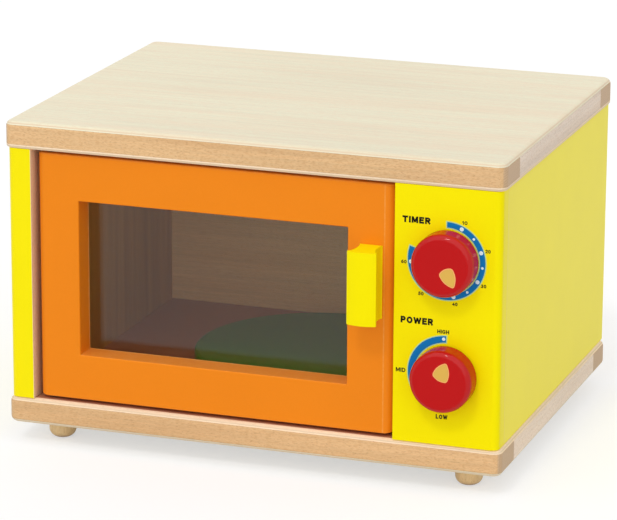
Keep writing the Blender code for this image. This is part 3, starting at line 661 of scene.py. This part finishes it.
def make_panels():
    """Side panels and the control panel, in plan. The left panel's outer front edge is rounded, and so is
    the control panel's. Both side panels are rebated for the back panel."""
    edge = 5 * MM
    turn = quarter(CORNER_TURNS)
    for side, sign in (("left", -1), ("right", 1)):
        low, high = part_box(f"{side}_side_panel")
        inner, outer = sorted((abs(low.x), abs(high.x)))
        rebate, seat = inner + 8 * MM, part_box("back_panel")[0].y - 0.1 * MM
        front = [(outer, low.y)]
        if side == "left":
            front = [(outer - edge + edge * math.sin(t), low.y + edge - edge * math.cos(t)) for t in turn]
        outline = [(inner, low.y), *front, (outer, high.y), (rebate, high.y), (rebate, seat), (inner, seat)]
        mesh = prism(f"{side}_panel_fine", np.array(outline) * (sign, 1), (low.z, high.z), "Z")
        piece(mesh, f"yellow_{side}", "cabinet", f"{side}_side_panel")
    low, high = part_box("control_panel")
    mesh = board("control_panel_fine", list(zip(low, high)), (0.4 * MM, edge, 0, 0))
    piece(mesh, "yellow_control", "cabinet", "control_panel")


def make_feet():
    """Turned feet: a domed bottom, a straight side and the spigot that goes up into the board."""
    spigot, shoulder = 4 * MM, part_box("base_outer_skin")[0].z - 0.1 * MM
    for name in ("foot_front_left", "foot_front_right", "foot_back_left", "foot_back_right"):
        middle, radius, _, top = round_node(name, "Z")
        points = [(ON_AXIS, 0), (radius, 0), (radius, shoulder)]
        points += [(spigot, shoulder), (spigot, top), (ON_AXIS, top)]
        profile = eased(points, (0, 6 * MM, 0.5 * MM, 0, 0.4 * MM, 0), 10)
        piece(turned(f"{name}_fine", profile, middle), "foot", "cabinet", name)


# The door


def make_door_frame():
    """The frame as a closed ring of sections. Outside, a section runs up the side and over the front edge,
    whose radius is 6 mm on the uprights and 1.1 mm above and below, as (rx cos f cos t, rz sin f cos t) off
    the corner against a depth of r(1 - sin t). Inside, it rounds 1 mm into the opening and out of it again
    at the pane. The hinge stile is a little narrower than the other three sides."""
    low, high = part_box("door_frame")
    half = np.array((high.x - low.x, high.z - low.z)) / 2
    middle = np.array(((low.x + high.x) / 2, (low.z + high.z) / 2))
    opening = half - ((STILE + HINGE_STILE) / 2, STILE)
    eye_middle = middle + ((HINGE_STILE - STILE) / 2, 0)
    small, eye, rear, corner = 1.1 * MM, 1 * MM, 0.8 * MM, 0.7 * MM
    signs = np.repeat(((-1, -1), (1, -1), (1, 1), (-1, 1)), CORNER_TURNS + 1, 0)
    angle = np.concatenate([math.pi + i * math.pi / 2 + quarter(CORNER_TURNS) for i in range(4)])
    turn = np.stack((np.cos(angle), np.sin(angle)), -1)
    soft = np.abs(turn)
    rings = []

    def ring(core, reach, y, about=middle):
        flat = about + signs * core + turn * reach
        rings.append(np.column_stack((flat[:, 0], np.broadcast_to(y, len(flat)), flat[:, 1])))

    for t in quarter(EDGE_TURNS)[::-1]:
        ring(half - small, small * math.cos(t), high.y - small * (1 - math.sin(t)))
    radii = np.array((UPRIGHT_ROUNDING, small))
    depth = (soft**2) @ radii
    for t in quarter(EDGE_TURNS + 3):
        ring(half - radii, radii * math.cos(t), low.y + depth * (1 - math.sin(t)))
    core = opening - corner
    for t in quarter(EDGE_TURNS)[::-1]:
        ring(core, corner + eye * (1 - math.cos(t)), low.y + eye * (1 - math.sin(t)), eye_middle)
    for t in quarter(EDGE_TURNS):
        ring(core, corner + rear * (1 - math.cos(t)), high.y - rear * (1 - math.sin(t)), eye_middle)
    mesh = mesh_of("door_frame_fine", np.stack(rings), ring_of_rings=True)
    piece(mesh, "orange", "door", "door_frame", crease=50)


def make_handle():
    """The handle in plan, run upwards: a shallow crown, x = w sin a against y = c sin^2 a, between two lips,
    then on each side a quarter ellipse in to the waist and another out to the foot."""
    low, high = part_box("door_handle")
    half, middle = (high.x - low.x) / 2, (low.x + high.x) / 2
    front, foot_y = low.y, high.y
    crown, lip = 2.1 * MM, 1.4 * MM
    waist_y = foot_y - (foot_y - front) * 0.33
    lip_y = front + crown + lip
    waist, foot = half * 0.66, half * 0.79
    a = quarter(14)
    right = (
        (half * np.sin(a), front + crown * np.sin(a) ** 2),
        (half - (half - waist) * np.sin(a), waist_y + (lip_y - waist_y) * np.cos(a)),
        (foot - (foot - waist) * np.cos(a[1:]), waist_y + (foot_y - waist_y) * np.sin(a[1:])),
    )
    half_plan = np.concatenate([np.column_stack(part) for part in right])
    plan = np.concatenate((half_plan, (half_plan * (-1, 1))[:0:-1])) + (middle, 0)
    mesh = prism("door_handle_fine", plan, (low.z, high.z), "Z")
    piece(mesh, "yellow_handle", "door", "door_handle", bevel=1.0 * MM)


# Knobs, turntable and small fittings


def make_knob(label):
    """A turned knob: a disc with a large rounding in front, and a boss behind it."""
    middle, radius, front, end = round_node(f"{label}_knob", "Y")
    back, boss = front + 14.6 * MM, 10 * MM
    points = [(ON_AXIS, front), (radius, front), (radius, back), (boss, back), (boss, end), (ON_AXIS, end)]
    profile = eased(points, (0, 3.8 * MM, 0.6 * MM, 0, 0.2 * MM, 0), 12)
    mesh = turned(f"{label}_knob_fine", profile, middle, "Y", 128)
    piece(mesh, "red", f"{label}_knob", f"{label}_knob")


def crossed(head_radius):
    """A cross recess, in a head whose top is at height 0: the head sinks by 0.7 mm where a point is within
    half a slot's width of either of two crossed lines, with sloping ends."""

    def reshape(radius, height, angle):
        u, v = np.abs(radius * np.cos(angle)), np.abs(radius * np.sin(angle))
        in_slot = np.clip((0.42 * MM - np.minimum(u, v)) / (0.16 * MM), 0, 1)
        within = np.clip((0.62 * head_radius - np.maximum(u, v)) / (0.3 * MM), 0, 1)
        on_top = np.clip((height + 0.75 * MM) / (0.2 * MM), 0, 1)
        return radius, height - 0.7 * MM * in_slot * within * on_top

    return reshape


def make_screw(name, body):
    """A pan-head screw with its head at the back end: a plain shank with a point, and a domed head with a
    cross recess. Heights run from the top of the head."""
    middle, radius, low, high = round_node(name, "Y")
    middle[1] = high
    length = high - low
    shank, thick = 1.5 * MM, 1.8 * MM
    dome = thick * 0.62
    profile = [(0.05 * MM, -length), (shank * 0.5, 0.6 * MM - length), (shank, 2.4 * MM - length)]
    profile += [(shank, -thick), (radius, -thick), (radius, -dome)]
    for share in np.linspace(1.0, 0.02, 22)[1:]:
        profile.append((radius * share, -dome * (1 - math.sqrt(1 - share**2.4))))
    mesh = turned(f"{name}_fine", profile, middle, "Y", 96, crossed(radius))
    piece(mesh, "steel", body, name, crease=40)


def make_bolt(name, body):
    """A hexagon bolt in place of a turned one: the head's radius is r cos 30 / cos(angle from a flat)."""
    middle, radius, low, high = round_node(name, "Y")
    shank, seat = 2.5 * MM, high - 3 * MM
    points = [(ON_AXIS, low), (shank, low), (shank, seat), (radius, seat), (radius, high), (ON_AXIS, high)]
    profile = eased(points, (0, 0.3 * MM, 0, 0.1 * MM, 0.5 * MM, 0), 4)

    def hexagon(radii, heights, angle):
        turn = (angle % (math.pi / 3)) - math.pi / 6
        return np.where(radii > 3 * MM, radii * math.cos(math.pi / 6) / np.cos(turn), radii), heights

    mesh = turned(f"{name}_fine", profile, middle, "Y", 96, hexagon)
    piece(mesh, "steel", body, name, crease=25)


def make_ring(name, body, finish, axis, hole):
    """A flat washer with its edges eased: a closed section turned about the axis."""
    middle, radius, bottom, top = round_node(name, axis)
    ease = min(0.25 * MM, (top - bottom) * 0.25)
    start = (hole, (bottom + top) / 2)
    corners = [start, (hole, bottom), (radius, bottom), (radius, top), (hole, top), start]
    section = eased(corners, (0, ease, ease, ease, ease, 0), 3)[:-1]
    piece(turned(f"{name}_fine", section, middle, axis, 64, ring=True), finish, body, name)


def make_rod(name, body, finish, axis):
    """A plain rod with eased ends."""
    middle, radius, low, high = round_node(name, axis)
    ease = min(0.4 * MM, radius * 0.2, (high - low) * 0.3)
    points = [(ON_AXIS, low), (radius, low), (radius, high), (ON_AXIS, high)]
    mesh = turned(f"{name}_fine", eased(points, (0, ease, ease, 0), 4), middle, axis, 64)
    piece(mesh, finish, body, name)


def make_turntable():
    """The green disc, sunk round its screw, and the thin round cover that hides the screw."""
    middle, radius, low, high = round_node("turntable", "Z")
    hole, well, seat = 2.8 * MM, 5.3 * MM, high - 3.6 * MM
    points = [(hole, low), (radius, low), (radius, high), (well, high), (well, seat), (hole, seat)]
    section = eased(points, (0, 2 * MM, 2 * MM, 0.4 * MM, 0, 0), 8)
    mesh = turned("turntable_fine", section, middle, "Z", 160, ring=True)
    piece(mesh, "green", "turntable", "turntable")
    rim, top = radius - 2.2 * MM, high + 0.3 * MM
    points = [(ON_AXIS, high), (rim, high), (rim, top), (ON_AXIS, top)]
    mesh = turned("turntable_cover", eased(points, (0, 0, 0.2 * MM, 0), 4), middle, "Z", 160)
    piece(mesh, "green", "turntable", None)


def make_fittings():
    """The knobs and every screw, pin, washer, bolt and dowel, with the magnet and its striker."""
    for i in range(1, 5):
        make_screw(f"back_screw_{i}", "cabinet")
        make_screw(f"window_screw_{i}", "door")
    for level in ("lower", "upper"):
        make_screw(f"handle_screw_{level}", "door")
        make_rod(f"hinge_pin_{level}", "cabinet", "steel", "Z")
        make_ring(f"hinge_washer_{level}", "cabinet", "nylon", "Z", 2.3 * MM)
    for label in ("timer", "power"):
        make_knob(label)
        make_bolt(f"{label}_bolt", f"{label}_knob")
        make_ring(f"{label}_washer", f"{label}_knob", "steel", "Y", 2.8 * MM)
    make_ring("turntable_washer", "cabinet", "nylon", "Z", 2.8 * MM)
    make_rod("catch_magnet", "cabinet", "steel", "Y")
    make_rod("catch_striker", "door", "steel", "Y")
    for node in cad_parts:
        if node.startswith("dowel_"):
            make_rod(node, "cabinet", "beech_z", "Z")


# Prints and marks


def sector(middle, inner, outer, start, end, grow):
    """A band's outline on the panel. Clock angles run from 12 o'clock, u = r sin a and v = r cos a, and each
    of the two radii, in mm, runs through its values at even steps of the turn. grow widens it all round."""
    share = np.linspace(0, 1, 91)
    extra = grow / (inner[0] * MM) * np.sign(end - start)
    turn = math.radians(start) - extra + share * (math.radians(end - start) + 2 * extra)
    way = np.stack((np.sin(turn), np.cos(turn)), -1)
    near, far = (np.interp(share, np.linspace(0, 1, len(r)), r)[:, None] * MM for r in (inner, outer))
    return np.concatenate((way * (far + grow), (way * (near - grow))[::-1])) + middle


def round_dot(middle, radius):
    """The outline of a dot."""
    turn = np.linspace(0, 2 * math.pi, 24, endpoint=False)
    return middle + radius * np.stack((np.cos(turn), np.sin(turn)), -1)


def pointer(corners, grow):
    """A pointer's outline, a triangle with bulging sides and soft corners: each side is pushed out by bulge
    times the sine of the way along it, then the outline is averaged over a share of its length and grown."""
    bulge, softness = 1.2 * MM, 0.045
    middle = corners.mean(0)
    t = np.linspace(0, 1, 60, endpoint=False)[:, None]
    sides = []
    for start, end in zip(corners, np.roll(corners, -1, 0)):
        out = unit(np.array((end[1] - start[1], start[0] - end[0])))
        out = out * np.sign(out @ ((start + end) / 2 - middle))
        sides.append(start + (end - start) * t + out * bulge * np.sin(np.pi * t))
    line = np.concatenate(sides)
    reach = int(len(line) * softness)
    soft = sum(np.roll(line, shift, 0) for shift in range(-reach, reach + 1)) / (2 * reach + 1)
    return soft + unit(soft - middle) * grow


def stamped(name, outline, face, lift, finish, body):
    """A print on a front face: a flat outline, standing a hair's breadth proud of the face."""
    piece(prism(name, outline, (face - lift, face + PRINT_SUNK), "Y"), finish, body, None)


def printed(name, outline, lift, finish):
    """A print on the control panel."""
    stamped(name, outline, PANEL_FACE, lift, finish, "cabinet")


def bow(x, y, across, up, start, end, steps):
    """Points on an ellipse about (x, y), from one angle to another in degrees."""
    turn = np.radians(np.linspace(start, end, steps + 1))
    return list(zip(x + across * np.cos(turn), y + up * np.sin(turn)))


def stretches(*points):
    """Each stretch between two points as a stroke of its own."""
    return [list(pair) for pair in zip(points, points[1:])]


# Each sign's width against its height, and the middle lines of its strokes in a unit square
SIGNS = {
    "T": (0.85, [[(0, 1), (1, 1)], [(0.5, 0.9), (0.5, 0)]]),
    "I": (0.0, [[(0.5, 0), (0.5, 1)]]),
    "M": (1.05, [[(0, 0), (0, 1)], *stretches((0.1, 0.92), (0.5, 0.15), (0.9, 0.92)), [(1, 1), (1, 0)]]),
    "E": (0.72, [[(1, 1), (0, 1), (0, 0), (1, 0)], [(0.1, 0.52), (0.85, 0.52)]]),
    "R": (
        0.82,
        [
            [(0, 0), (0, 1), (0.6, 1)] + bow(0.6, 0.74, 0.38, 0.26, 75, -75, 8) + [(0.1, 0.48)],
            [(0.5, 0.45), (0.95, 0)],
        ],
    ),
    "P": (0.78, [[(0, 0), (0, 1), (0.55, 1)] + bow(0.55, 0.72, 0.45, 0.28, 75, -75, 8) + [(0.1, 0.44)]]),
    "O": (1.0, [bow(0.5, 0.5, 0.5, 0.5, 0, 360, 28)]),
    "W": (1.45, stretches((0, 1), (0.23, 0.06), (0.5, 0.9), (0.77, 0.06), (1, 1))),
    "H": (0.8, [[(0, 0), (0, 1)], [(1, 0), (1, 1)], [(0.1, 0.5), (0.9, 0.5)]]),
    "G": (0.95, [bow(0.5, 0.5, 0.5, 0.5, 48, 325, 20) + [(0.95, 0.46), (0.6, 0.46)]]),
    "D": (0.85, [[(0, 0), (0.4, 0)] + bow(0.4, 0.5, 0.6, 0.5, -75, 75, 12) + [(0.4, 1), (0, 1), (0, 0)]]),
    "L": (0.68, [[(0, 1), (0, 0), (1, 0)]]),
    "0": (0.68, [bow(0.5, 0.5, 0.5, 0.5, 0, 360, 24)]),
    "1": (0.35, [[(0.0, 0.76), (0.8, 1), (0.8, 0)]]),
    "2": (0.66, [bow(0.5, 0.7, 0.46, 0.3, 165, -30, 10) + [(0.05, 0), (1, 0)]]),
    "3": (0.66, [bow(0.45, 0.75, 0.42, 0.25, 150, -70, 10), bow(0.45, 0.27, 0.5, 0.27, 70, -150, 10)]),
    "4": (0.72, [[(0.74, 0), (0.74, 1), (0, 0.3), (1, 0.3)]]),
    "5": (0.66, [[(0.92, 1), (0.2, 1), (0.12, 0.55)] + bow(0.45, 0.33, 0.5, 0.33, 100, -150, 10)]),
    "6": (0.68, [bow(0.5, 0.31, 0.48, 0.31, 0, 360, 20), bow(0.8, 0.36, 0.78, 0.64, 170, 95, 8)]),
}


def stroked(name, line, width):
    """A printed stroke of even width along a line: each point goes half the width to either side, along
    the mean of the normals before and after it, over the cosine of half the turn. Open ends run on by half
    the width."""
    loop = np.allclose(line[0], line[-1])
    if loop:
        line = line[:-1]
        ahead = unit(np.roll(line, -1, 0) - line)
        behind = np.roll(ahead, 1, 0)
    else:
        way = unit(np.diff(line, axis=0))
        line = np.concatenate((line[:1] - way[:1] * width / 2, line[1:-1], line[-1:] + way[-1:] * width / 2))
        ahead, behind = np.concatenate((way, way[-1:])), np.concatenate((way[:1], way))
    mean = unit(ahead + behind)
    reach = width / 2 / np.maximum((mean * ahead).sum(1), 0.6)
    side = np.column_stack((-mean[:, 1], mean[:, 0])) * reach[:, None]
    out, under = PANEL_FACE - 0.05 * MM, PANEL_FACE + PRINT_SUNK
    corners = ((1, out), (-1, out), (-1, under), (1, under))
    rings = [np.insert(line + side * sign, 1, y, axis=1) for sign, y in corners]
    return mesh_of(name, np.stack(rings, 1), ring_of_rings=loop)


def lettered(name, words, middle, size, stroke):
    """Plain lettering on the control panel, drawn with strokes of one width and fitted to a box."""
    width, height = np.array(size) - stroke
    gap = stroke * 1.5
    free = width - gap * (len(words) - 1)
    scale = free / sum(SIGNS[sign][0] for sign in words)
    start, strokes = middle[0] - width / 2, []
    for sign in words:
        share, lines = SIGNS[sign]
        for line in lines:
            spot = np.array(line, float) * (share * scale, height) + (start, middle[1] - height / 2)
            strokes.append(stroked(name, spot, stroke))
        start += share * scale + gap
    shape = bmesh.new()
    for mesh in strokes:
        shape.from_mesh(mesh)
        bpy.data.meshes.remove(mesh)
    whole = bpy.data.meshes.new(name)
    shape.to_mesh(whole)
    shape.free()
    piece(whole, "black", "cabinet", None)


def knob_middle(label):
    """X and Z of a knob's middle."""
    return node_middle(f"{label}_knob")[[0, 2]]


def banded(label, middle, inner, outer, start, end):
    """A blue band with a thin pale outline."""
    for part, lift, finish, grow in (("band_ground", 0.03, "outline", 0.65), ("band", 0.05, "blue", 0)):
        outline = sector(middle, inner, outer, start, end, grow * MM)
        printed(f"{label}_{part}", outline, lift * MM, finish)


def make_timer_print():
    """A blue band from 12 o'clock round to 288 degrees with a dot every 24 degrees, and the minutes."""
    middle = knob_middle("timer") + np.array((-0.9, -0.1)) * MM
    banded("timer", middle, (21.9, 21.9), (25.5, 25.5), 0, 288)
    for minutes in range(10, 61, 5):
        turn = math.radians(24 * (minutes / 5 - 1))
        way = np.array((math.sin(turn), math.cos(turn)))
        radius = 1.35 if minutes % 10 == 0 else 0.85
        dot = round_dot(middle + way * 23.6 * MM, radius * MM)
        printed(f"timer_dot_{minutes}", dot, 0.07 * MM, "dot")
        if minutes % 10 == 0:
            size = (3.5 * MM, 2.3 * MM)
            lettered(f"timer_number_{minutes}", str(minutes), middle + way * 28.3 * MM, size, 0.52 * MM)


def make_power_print():
    """A blue band from 12 o'clock back to 6 o'clock that narrows on the way, with a dot at its wide end."""
    middle = knob_middle("power") + np.array((-0.4, -0.5)) * MM
    inner = (22.8, 22.2, 21.5, 21.2, 21.5, 22.3)
    outer = (27.1, 26.7, 25.6, 24.4, 23.7, 23.2)
    banded("power", middle, inner, outer, 0, -180)
    dot = round_dot(middle + np.array((-1.6, 25.0)) * MM, 1.1 * MM)
    printed("power_dot", dot, 0.07 * MM, "dot")


def make_lettering():
    """Each word in its box: how far it lies from its knob's middle, its width and height, and the stroke."""
    for words, label, x, z, width, height, stroke in (
        ("TIMER", "timer", -21.1, 24.9, 18.5, 4.3, 1.2),
        ("POWER", "power", -19.95, 34.9, 21.5, 4.4, 1.2),
        ("HIGH", "power", -2.4, 29.3, 7.85, 2.6, 0.58),
        ("MID", "power", -30.35, 1.3, 6.4, 2.8, 0.62),
        ("LOW", "power", -2.6, -27.3, 7.8, 3.0, 0.7),
    ):
        middle = knob_middle(label) + np.array((x, z)) * MM
        lettered(f"word_{words.lower()}", words, middle, (width * MM, height * MM), stroke * MM)


def make_marks():
    """The pointer on each knob: a tan shape with a peach rim."""
    for label, corners in (
        ("power", ((-3.8, 5.4), (4.3, 13.1), (4.7, 1.5))),
        ("timer", ((-0.5, -5.0), (7.2, -0.9), (8.3, -12.4))),
    ):
        knob = f"{label}_knob"
        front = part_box(knob)[0].y
        points = np.array(corners) * MM + knob_middle(label)
        for part, finish, lift, grow in (("mark_rim", "rim", 0.05, 0.9), ("mark", "tan", 0.08, 0.35)):
            outline = pointer(points, grow * MM)
            stamped(f"{label}_{part}", outline, front, lift * MM, finish, knob)


# Camera, light and floor


# The view fitted to the photograph: the place in metres, the turns in degrees, the lens in mm
CAMERA_PLACE = (0.754383, -2.185608, 0.760865)
CAMERA_TURNS = (19.087, 15.714, 0.2954)
LENS, SENSOR = 207.7, 36.0

# The light that the white surroundings give, the floor's own glow, and how far the floor reaches in metres
SURROUND_LIGHT = 0.58
FLOOR_GLOW = 0.55
FLOOR_REACH = 14.0


def make_camera():
    """The photograph's view: 19 degrees to the right of the front, 16 degrees down, from over 2 m away."""
    yaw, pitch, roll = (math.radians(turn) for turn in CAMERA_TURNS)
    ahead = Vector((-math.sin(yaw) * math.cos(pitch), math.cos(yaw) * math.cos(pitch), -math.sin(pitch)))
    right = Vector((math.cos(yaw), math.sin(yaw), 0))
    up = right.cross(ahead)
    right, up = math.cos(roll) * right + math.sin(roll) * up, math.cos(roll) * up - math.sin(roll) * right
    data = bpy.data.cameras.new("camera")
    data.lens, data.sensor_width, data.sensor_fit = LENS, SENSOR, "HORIZONTAL"
    data.clip_start, data.clip_end = 0.05, 60.0
    camera = added("camera", data)
    turn = Matrix((right, up, -ahead)).transposed().to_4x4()
    camera.matrix_world = Matrix.Translation(CAMERA_PLACE) @ turn
    bpy.context.scene.camera = camera


def white_rays(nodes):
    """1 for rays that show the background: from the camera, off gloss and through glass."""
    rays = ("Is Camera Ray", "Is Glossy Ray", "Is Transmission Ray")
    camera, gloss, glass = (nodes.node("ShaderNodeLightPath", output=ray) for ray in rays)
    return camera.most(gloss).most(glass)


def make_light():
    """A white studio with two suns, a broad one and a small one that draws the highlights."""
    world = bpy.data.worlds.new("studio")
    bpy.context.scene.world = world
    nodes = Nodes(world)
    shown = white_rays(nodes)
    strength = shown + (1.0 - shown) * SURROUND_LIGHT
    background = nodes.node("ShaderNodeBackground", inputs={"Color": (1, 1, 1, 1), "Strength": strength})
    nodes.node("ShaderNodeOutputWorld", inputs={"Surface": background})
    for name, energy, angle, way in (
        ("broad_key", 1.1, 100, (0.12, -0.68, 0.72)),
        ("small_key", 0.45, 9, (-0.05, -0.64, 0.77)),
    ):
        data = bpy.data.lights.new(name, "SUN")
        data.energy, data.angle = energy, math.radians(angle)
        added(name, data).rotation_euler = Vector(way).to_track_quat("Z", "Y").to_euler()


def make_floor():
    """A pale floor that looks white where it is lit and keeps a soft shadow."""
    material = bpy.data.materials.new("floor")
    nodes = Nodes(material)
    plain, half = (nodes.node("ShaderNodeBsdfDiffuse", inputs={"Color": (g, g, g, 1)}) for g in (0.8, 0.5))
    glow = nodes.node("ShaderNodeEmission", inputs={"Color": (1, 1, 1, 1), "Strength": FLOOR_GLOW})
    bright = nodes.node("ShaderNodeAddShader", inputs={0: half, 1: glow})
    both = nodes.node("ShaderNodeMixShader", inputs={0: white_rays(nodes), 1: plain, 2: bright})
    nodes.node("ShaderNodeOutputMaterial", inputs={"Surface": both})
    mesh = bpy.data.meshes.new("floor")
    corners = [(x * FLOOR_REACH, y * FLOOR_REACH, 0) for x, y in ((-1, -1), (1, -1), (1, 1), (-1, 1))]
    mesh.from_pydata(corners, [], [(0, 1, 2, 3)])
    mesh.materials.append(material)
    floor = added("floor", mesh)


PANEL_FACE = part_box("control_panel")[0].y
FINISHES = make_finishes()

make_boards()
make_panels()
make_feet()
make_door_frame()
make_handle()
make_turntable()
make_fittings()
make_timer_print()
make_power_print()
make_lettering()
make_marks()
for node_name, finish_name in (
    ("base_centre_rail", "beech_y"),
    ("back_panel", "back"),
    ("door_stop_batten", "beech_z"),
    ("door_window", "smoke"),
):
    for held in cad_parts[node_name].material_slots:
        held.material = FINISHES[finish_name]

make_camera()
make_light()
make_floor()
bpy.context.scene.view_settings.view_transform = "Standard"
